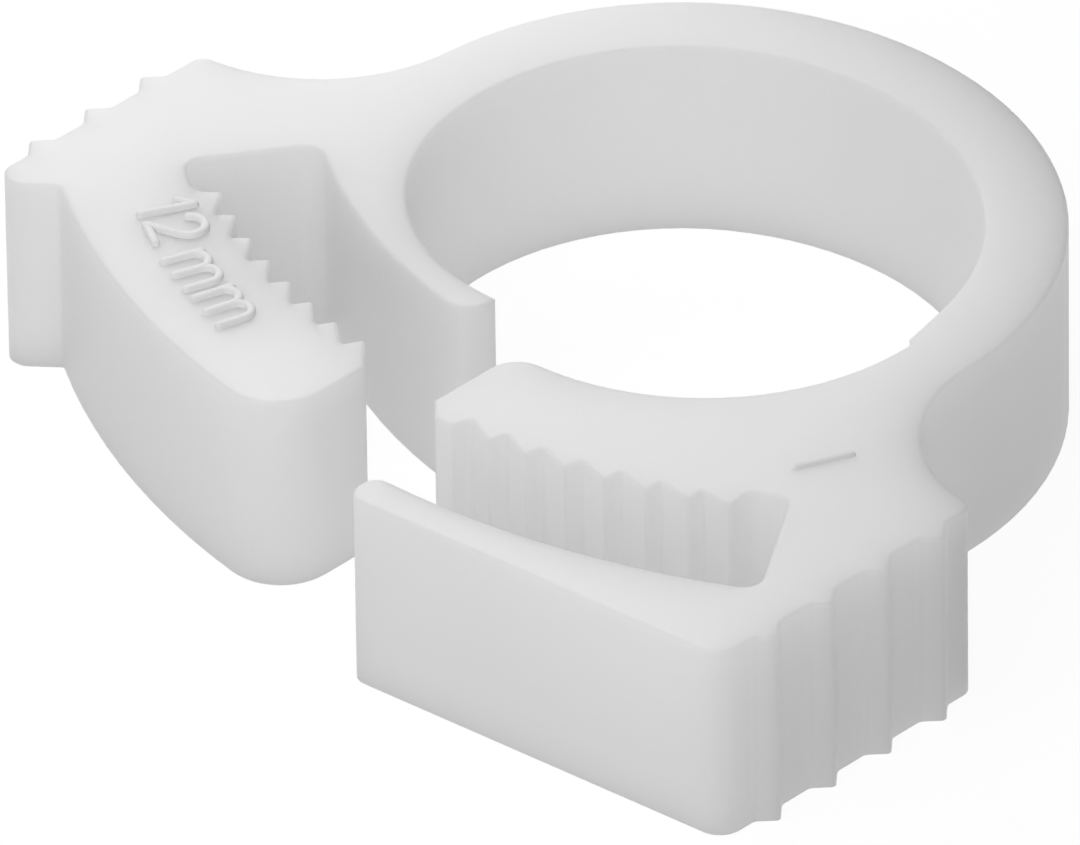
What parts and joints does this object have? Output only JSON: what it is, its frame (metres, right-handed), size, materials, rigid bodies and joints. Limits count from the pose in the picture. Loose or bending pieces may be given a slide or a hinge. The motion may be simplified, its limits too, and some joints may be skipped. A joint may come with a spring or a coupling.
{
  "type": "hose clip",
  "caption": "One-piece moulded snap-grip hose clip shown open: a springy ring with a tongue across the mouth, two toothed jaw arms that interlock, a backing strap and ribbed heads.",
  "frame": {"origin": "centre of the bore on the clip's lower side face", "axes": "+Z along the hose through the bore, -Y towards the open mouth, +X towards the head with the strap"},
  "size_m": [0.027, 0.0224, 0.0054],
  "materials": {
    "nylon": "satin"
  },
  "bodies": {
    "root": {"hose_clip": "nylon"}
  },
  "joints": []
}
